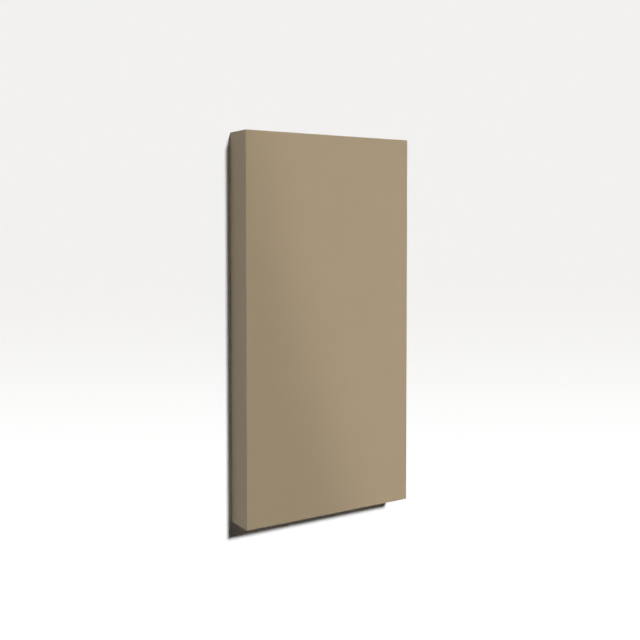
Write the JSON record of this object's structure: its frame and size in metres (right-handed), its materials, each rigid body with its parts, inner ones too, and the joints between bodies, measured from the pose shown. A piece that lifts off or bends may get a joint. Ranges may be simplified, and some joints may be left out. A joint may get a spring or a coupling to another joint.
{
  "type": "fabric acoustic wall panel",
  "caption": "Fabric-wrapped acoustic wall panel: a thick rigid glass-fibre board, twice as long as wide, wrapped in beige woven cloth that is hemmed on its back.",
  "frame": {"origin": "centre of the back, on the plane of the cloth's hems, which is the plane that the panel lies or hangs on", "axes": "+X across the panel's width, +Y along its length towards the upper end as hung, +Z out of the face"},
  "size_m": [0.6116, 1.2212, 0.1036],
  "materials": {
    "glass_fibre_board": "matte resin-bonded glass fibre",
    "woven_cloth": "matte plain-woven polyester, beige"
  },
  "bodies": {
    "root": {"core_board": "glass_fibre_board", "fabric_wrap": "woven_cloth"}
  },
  "joints": []
}
